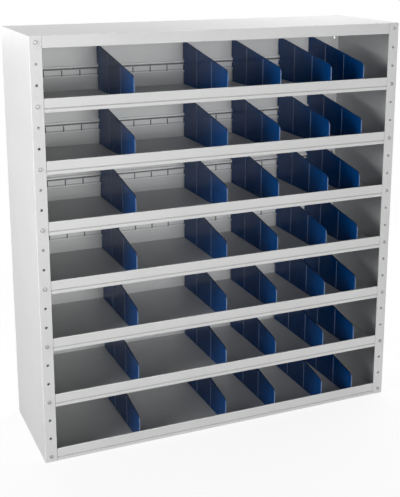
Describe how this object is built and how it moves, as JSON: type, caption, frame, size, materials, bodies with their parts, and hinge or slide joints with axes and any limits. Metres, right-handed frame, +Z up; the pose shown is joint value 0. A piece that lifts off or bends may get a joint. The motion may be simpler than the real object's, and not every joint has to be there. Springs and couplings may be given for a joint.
{
  "type": "compartment shelving unit",
  "caption": "Bolted sheet-steel shelving unit with raised shelf lips, slotted rails along the back and plastic dividers that split each shelf into compartments.",
  "frame": {"origin": "on the floor, under the middle of the unit", "axes": "+Z up, +X along the width to the right as seen from the open front, +Y towards the back"},
  "size_m": [1.008, 0.3108, 1.08],
  "materials": {
    "paint": "satin light grey powder coat",
    "blue_plastic": "glossy dark blue",
    "zinc": "zinc plated"
  },
  "bodies": {
    "carcass": {"left_side_panel": "paint", "right_side_panel": "paint", "back_panel": "paint", "top_cover": "paint", "shelf_1": "paint", "shelf_2": "paint", "shelf_3": "paint", "shelf_4": "paint", "shelf_5": "paint", "shelf_6": "paint", "shelf_7": "paint", "rail_1": "paint", "rail_2": "paint", "rail_3": "paint", "rail_4": "paint", "rail_5": "paint", "rail_6": "paint", "rail_7": "paint", "front_screws": "zinc", "front_nuts": "zinc", "rear_screws": "zinc", "rear_nuts": "zinc", "rail_screws": "zinc", "rail_nuts": "zinc"},
    "divider_1_1": {"divider_1_1": "blue_plastic"},
    "divider_1_2": {"divider_1_2": "blue_plastic"},
    "divider_1_3": {"divider_1_3": "blue_plastic"},
    "divider_1_4": {"divider_1_4": "blue_plastic"},
    "divider_1_5": {"divider_1_5": "blue_plastic"},
    "divider_2_1": {"divider_2_1": "blue_plastic"},
    "divider_2_2": {"divider_2_2": "blue_plastic"},
    "divider_2_3": {"divider_2_3": "blue_plastic"},
    "divider_2_4": {"divider_2_4": "blue_plastic"},
    "divider_2_5": {"divider_2_5": "blue_plastic"},
    "divider_3_1": {"divider_3_1": "blue_plastic"},
    "divider_3_2": {"divider_3_2": "blue_plastic"},
    "divider_3_3": {"divider_3_3": "blue_plastic"},
    "divider_3_4": {"divider_3_4": "blue_plastic"},
    "divider_3_5": {"divider_3_5": "blue_plastic"},
    "divider_4_1": {"divider_4_1": "blue_plastic"},
    "divider_4_2": {"divider_4_2": "blue_plastic"},
    "divider_4_3": {"divider_4_3": "blue_plastic"},
    "divider_4_4": {"divider_4_4": "blue_plastic"},
    "divider_4_5": {"divider_4_5": "blue_plastic"},
    "divider_5_1": {"divider_5_1": "blue_plastic"},
    "divider_5_2": {"divider_5_2": "blue_plastic"},
    "divider_5_3": {"divider_5_3": "blue_plastic"},
    "divider_5_4": {"divider_5_4": "blue_plastic"},
    "divider_5_5": {"divider_5_5": "blue_plastic"},
    "divider_6_1": {"divider_6_1": "blue_plastic"},
    "divider_6_2": {"divider_6_2": "blue_plastic"},
    "divider_6_3": {"divider_6_3": "blue_plastic"},
    "divider_6_4": {"divider_6_4": "blue_plastic"},
    "divider_6_5": {"divider_6_5": "blue_plastic"},
    "divider_7_1": {"divider_7_1": "blue_plastic"},
    "divider_7_2": {"divider_7_2": "blue_plastic"},
    "divider_7_3": {"divider_7_3": "blue_plastic"},
    "divider_7_4": {"divider_7_4": "blue_plastic"},
    "divider_7_5": {"divider_7_5": "blue_plastic"}
  },
  "joints": [
    {"name": "divider_1_1_lift", "type": "hinge", "parent": "carcass", "child": "divider_1_1", "pos_m": [-0.25, 0.1465, 0.094], "axis": [-1, 0, 0], "range_deg": [0, 7]},
    {"name": "divider_1_2_lift", "type": "hinge", "parent": "carcass", "child": "divider_1_2", "pos_m": [0, 0.1465, 0.094], "axis": [-1, 0, 0], "range_deg": [0, 7]},
    {"name": "divider_1_3_lift", "type": "hinge", "parent": "carcass", "child": "divider_1_3", "pos_m": [0.15, 0.1465, 0.094], "axis": [-1, 0, 0], "range_deg": [0, 7]},
    {"name": "divider_1_4_lift", "type": "hinge", "parent": "carcass", "child": "divider_1_4", "pos_m": [0.3, 0.1465, 0.094], "axis": [-1, 0, 0], "range_deg": [0, 7]},
    {"name": "divider_1_5_lift", "type": "hinge", "parent": "carcass", "child": "divider_1_5", "pos_m": [0.4, 0.1465, 0.094], "axis": [-1, 0, 0], "range_deg": [0, 7]},
    {"name": "divider_2_1_lift", "type": "hinge", "parent": "carcass", "child": "divider_2_1", "pos_m": [-0.25, 0.1465, 0.244], "axis": [-1, 0, 0], "range_deg": [0, 7]},
    {"name": "divider_2_2_lift", "type": "hinge", "parent": "carcass", "child": "divider_2_2", "pos_m": [0, 0.1465, 0.244], "axis": [-1, 0, 0], "range_deg": [0, 7]},
    {"name": "divider_2_3_lift", "type": "hinge", "parent": "carcass", "child": "divider_2_3", "pos_m": [0.15, 0.1465, 0.244], "axis": [-1, 0, 0], "range_deg": [0, 7]},
    {"name": "divider_2_4_lift", "type": "hinge", "parent": "carcass", "child": "divider_2_4", "pos_m": [0.3, 0.1465, 0.244], "axis": [-1, 0, 0], "range_deg": [0, 7]},
    {"name": "divider_2_5_lift", "type": "hinge", "parent": "carcass", "child": "divider_2_5", "pos_m": [0.4, 0.1465, 0.244], "axis": [-1, 0, 0], "range_deg": [0, 7]},
    {"name": "divider_3_1_lift", "type": "hinge", "parent": "carcass", "child": "divider_3_1", "pos_m": [-0.25, 0.1465, 0.394], "axis": [-1, 0, 0], "range_deg": [0, 7]},
    {"name": "divider_3_2_lift", "type": "hinge", "parent": "carcass", "child": "divider_3_2", "pos_m": [0, 0.1465, 0.394], "axis": [-1, 0, 0], "range_deg": [0, 7]},
    {"name": "divider_3_3_lift", "type": "hinge", "parent": "carcass", "child": "divider_3_3", "pos_m": [0.15, 0.1465, 0.394], "axis": [-1, 0, 0], "range_deg": [0, 7]},
    {"name": "divider_3_4_lift", "type": "hinge", "parent": "carcass", "child": "divider_3_4", "pos_m": [0.3, 0.1465, 0.394], "axis": [-1, 0, 0], "range_deg": [0, 7]},
    {"name": "divider_3_5_lift", "type": "hinge", "parent": "carcass", "child": "divider_3_5", "pos_m": [0.4, 0.1465, 0.394], "axis": [-1, 0, 0], "range_deg": [0, 7]},
    {"name": "divider_4_1_lift", "type": "hinge", "parent": "carcass", "child": "divider_4_1", "pos_m": [-0.25, 0.1465, 0.544], "axis": [-1, 0, 0], "range_deg": [0, 7]},
    {"name": "divider_4_2_lift", "type": "hinge", "parent": "carcass", "child": "divider_4_2", "pos_m": [0, 0.1465, 0.544], "axis": [-1, 0, 0], "range_deg": [0, 7]},
    {"name": "divider_4_3_lift", "type": "hinge", "parent": "carcass", "child": "divider_4_3", "pos_m": [0.15, 0.1465, 0.544], "axis": [-1, 0, 0], "range_deg": [0, 7]},
    {"name": "divider_4_4_lift", "type": "hinge", "parent": "carcass", "child": "divider_4_4", "pos_m": [0.3, 0.1465, 0.544], "axis": [-1, 0, 0], "range_deg": [0, 7]},
    {"name": "divider_4_5_lift", "type": "hinge", "parent": "carcass", "child": "divider_4_5", "pos_m": [0.4, 0.1465, 0.544], "axis": [-1, 0, 0], "range_deg": [0, 7]},
    {"name": "divider_5_1_lift", "type": "hinge", "parent": "carcass", "child": "divider_5_1", "pos_m": [-0.25, 0.1465, 0.694], "axis": [-1, 0, 0], "range_deg": [0, 7]},
    {"name": "divider_5_2_lift", "type": "hinge", "parent": "carcass", "child": "divider_5_2", "pos_m": [0, 0.1465, 0.694], "axis": [-1, 0, 0], "range_deg": [0, 7]},
    {"name": "divider_5_3_lift", "type": "hinge", "parent": "carcass", "child": "divider_5_3", "pos_m": [0.15, 0.1465, 0.694], "axis": [-1, 0, 0], "range_deg": [0, 7]},
    {"name": "divider_5_4_lift", "type": "hinge", "parent": "carcass", "child": "divider_5_4", "pos_m": [0.3, 0.1465, 0.694], "axis": [-1, 0, 0], "range_deg": [0, 7]},
    {"name": "divider_5_5_lift", "type": "hinge", "parent": "carcass", "child": "divider_5_5", "pos_m": [0.4, 0.1465, 0.694], "axis": [-1, 0, 0], "range_deg": [0, 7]},
    {"name": "divider_6_1_lift", "type": "hinge", "parent": "carcass", "child": "divider_6_1", "pos_m": [-0.25, 0.1465, 0.844], "axis": [-1, 0, 0], "range_deg": [0, 7]},
    {"name": "divider_6_2_lift", "type": "hinge", "parent": "carcass", "child": "divider_6_2", "pos_m": [0, 0.1465, 0.844], "axis": [-1, 0, 0], "range_deg": [0, 7]},
    {"name": "divider_6_3_lift", "type": "hinge", "parent": "carcass", "child": "divider_6_3", "pos_m": [0.15, 0.1465, 0.844], "axis": [-1, 0, 0], "range_deg": [0, 7]},
    {"name": "divider_6_4_lift", "type": "hinge", "parent": "carcass", "child": "divider_6_4", "pos_m": [0.3, 0.1465, 0.844], "axis": [-1, 0, 0], "range_deg": [0, 7]},
    {"name": "divider_6_5_lift", "type": "hinge", "parent": "carcass", "child": "divider_6_5", "pos_m": [0.4, 0.1465, 0.844], "axis": [-1, 0, 0], "range_deg": [0, 7]},
    {"name": "divider_7_1_lift", "type": "hinge", "parent": "carcass", "child": "divider_7_1", "pos_m": [-0.25, 0.1465, 0.994], "axis": [-1, 0, 0], "range_deg": [0, 7]},
    {"name": "divider_7_2_lift", "type": "hinge", "parent": "carcass", "child": "divider_7_2", "pos_m": [0, 0.1465, 0.994], "axis": [-1, 0, 0], "range_deg": [0, 7]},
    {"name": "divider_7_3_lift", "type": "hinge", "parent": "carcass", "child": "divider_7_3", "pos_m": [0.15, 0.1465, 0.994], "axis": [-1, 0, 0], "range_deg": [0, 7]},
    {"name": "divider_7_4_lift", "type": "hinge", "parent": "carcass", "child": "divider_7_4", "pos_m": [0.3, 0.1465, 0.994], "axis": [-1, 0, 0], "range_deg": [0, 7]},
    {"name": "divider_7_5_lift", "type": "hinge", "parent": "carcass", "child": "divider_7_5", "pos_m": [0.4, 0.1465, 0.994], "axis": [-1, 0, 0], "range_deg": [0, 7]}
  ]
}
